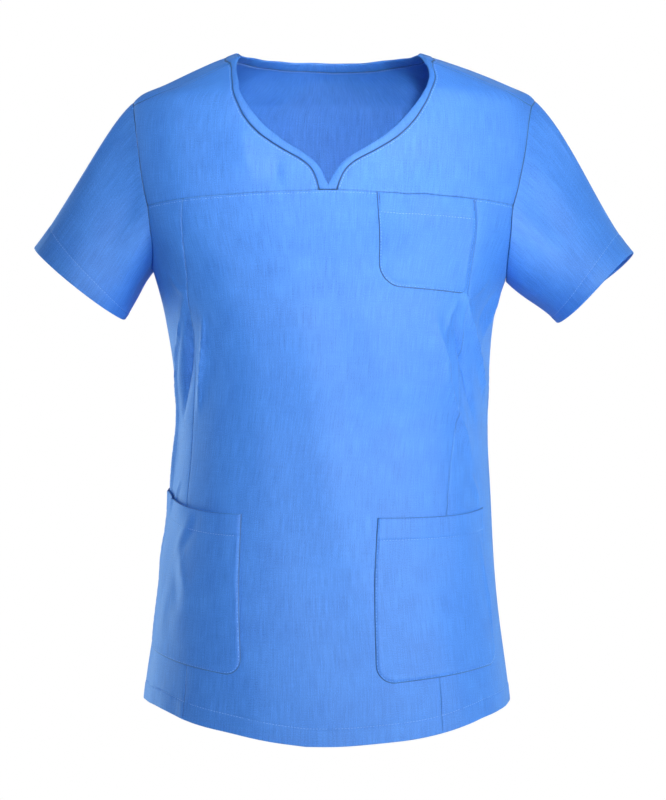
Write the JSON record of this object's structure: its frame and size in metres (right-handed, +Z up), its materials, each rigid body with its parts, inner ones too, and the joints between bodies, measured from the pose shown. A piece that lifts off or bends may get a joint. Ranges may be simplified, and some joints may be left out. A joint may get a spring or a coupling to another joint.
{
  "type": "medical scrub top",
  "caption": "Hip-length V-neck scrub top with yoke, princess seams, short set-in sleeves, a breast pocket and two hip pockets, filled out and hollow.",
  "frame": {"origin": "midway between the middles of the two shoulder ridges, where the wearer's shoulders carry the top", "axes": "+Z up, -Y towards the front, +X towards the wearer's left"},
  "size_m": [0.5967, 0.2498, 0.6749],
  "materials": {
    "scrub_cloth": "fine woven cloth with a soft sheen, cornflower blue",
    "neckband_cloth": "the same cloth, doubled and pressed flat"
  },
  "bodies": {
    "root": {"front_centre": "scrub_cloth", "front_side_left": "scrub_cloth", "front_side_right": "scrub_cloth", "yoke_left": "scrub_cloth", "yoke_right": "scrub_cloth", "back": "scrub_cloth", "back_yoke": "scrub_cloth", "sleeve_left": "scrub_cloth", "sleeve_right": "scrub_cloth", "neckband": "neckband_cloth", "pocket_chest": "scrub_cloth", "pocket_left": "scrub_cloth", "pocket_right": "scrub_cloth"}
  },
  "joints": []
}
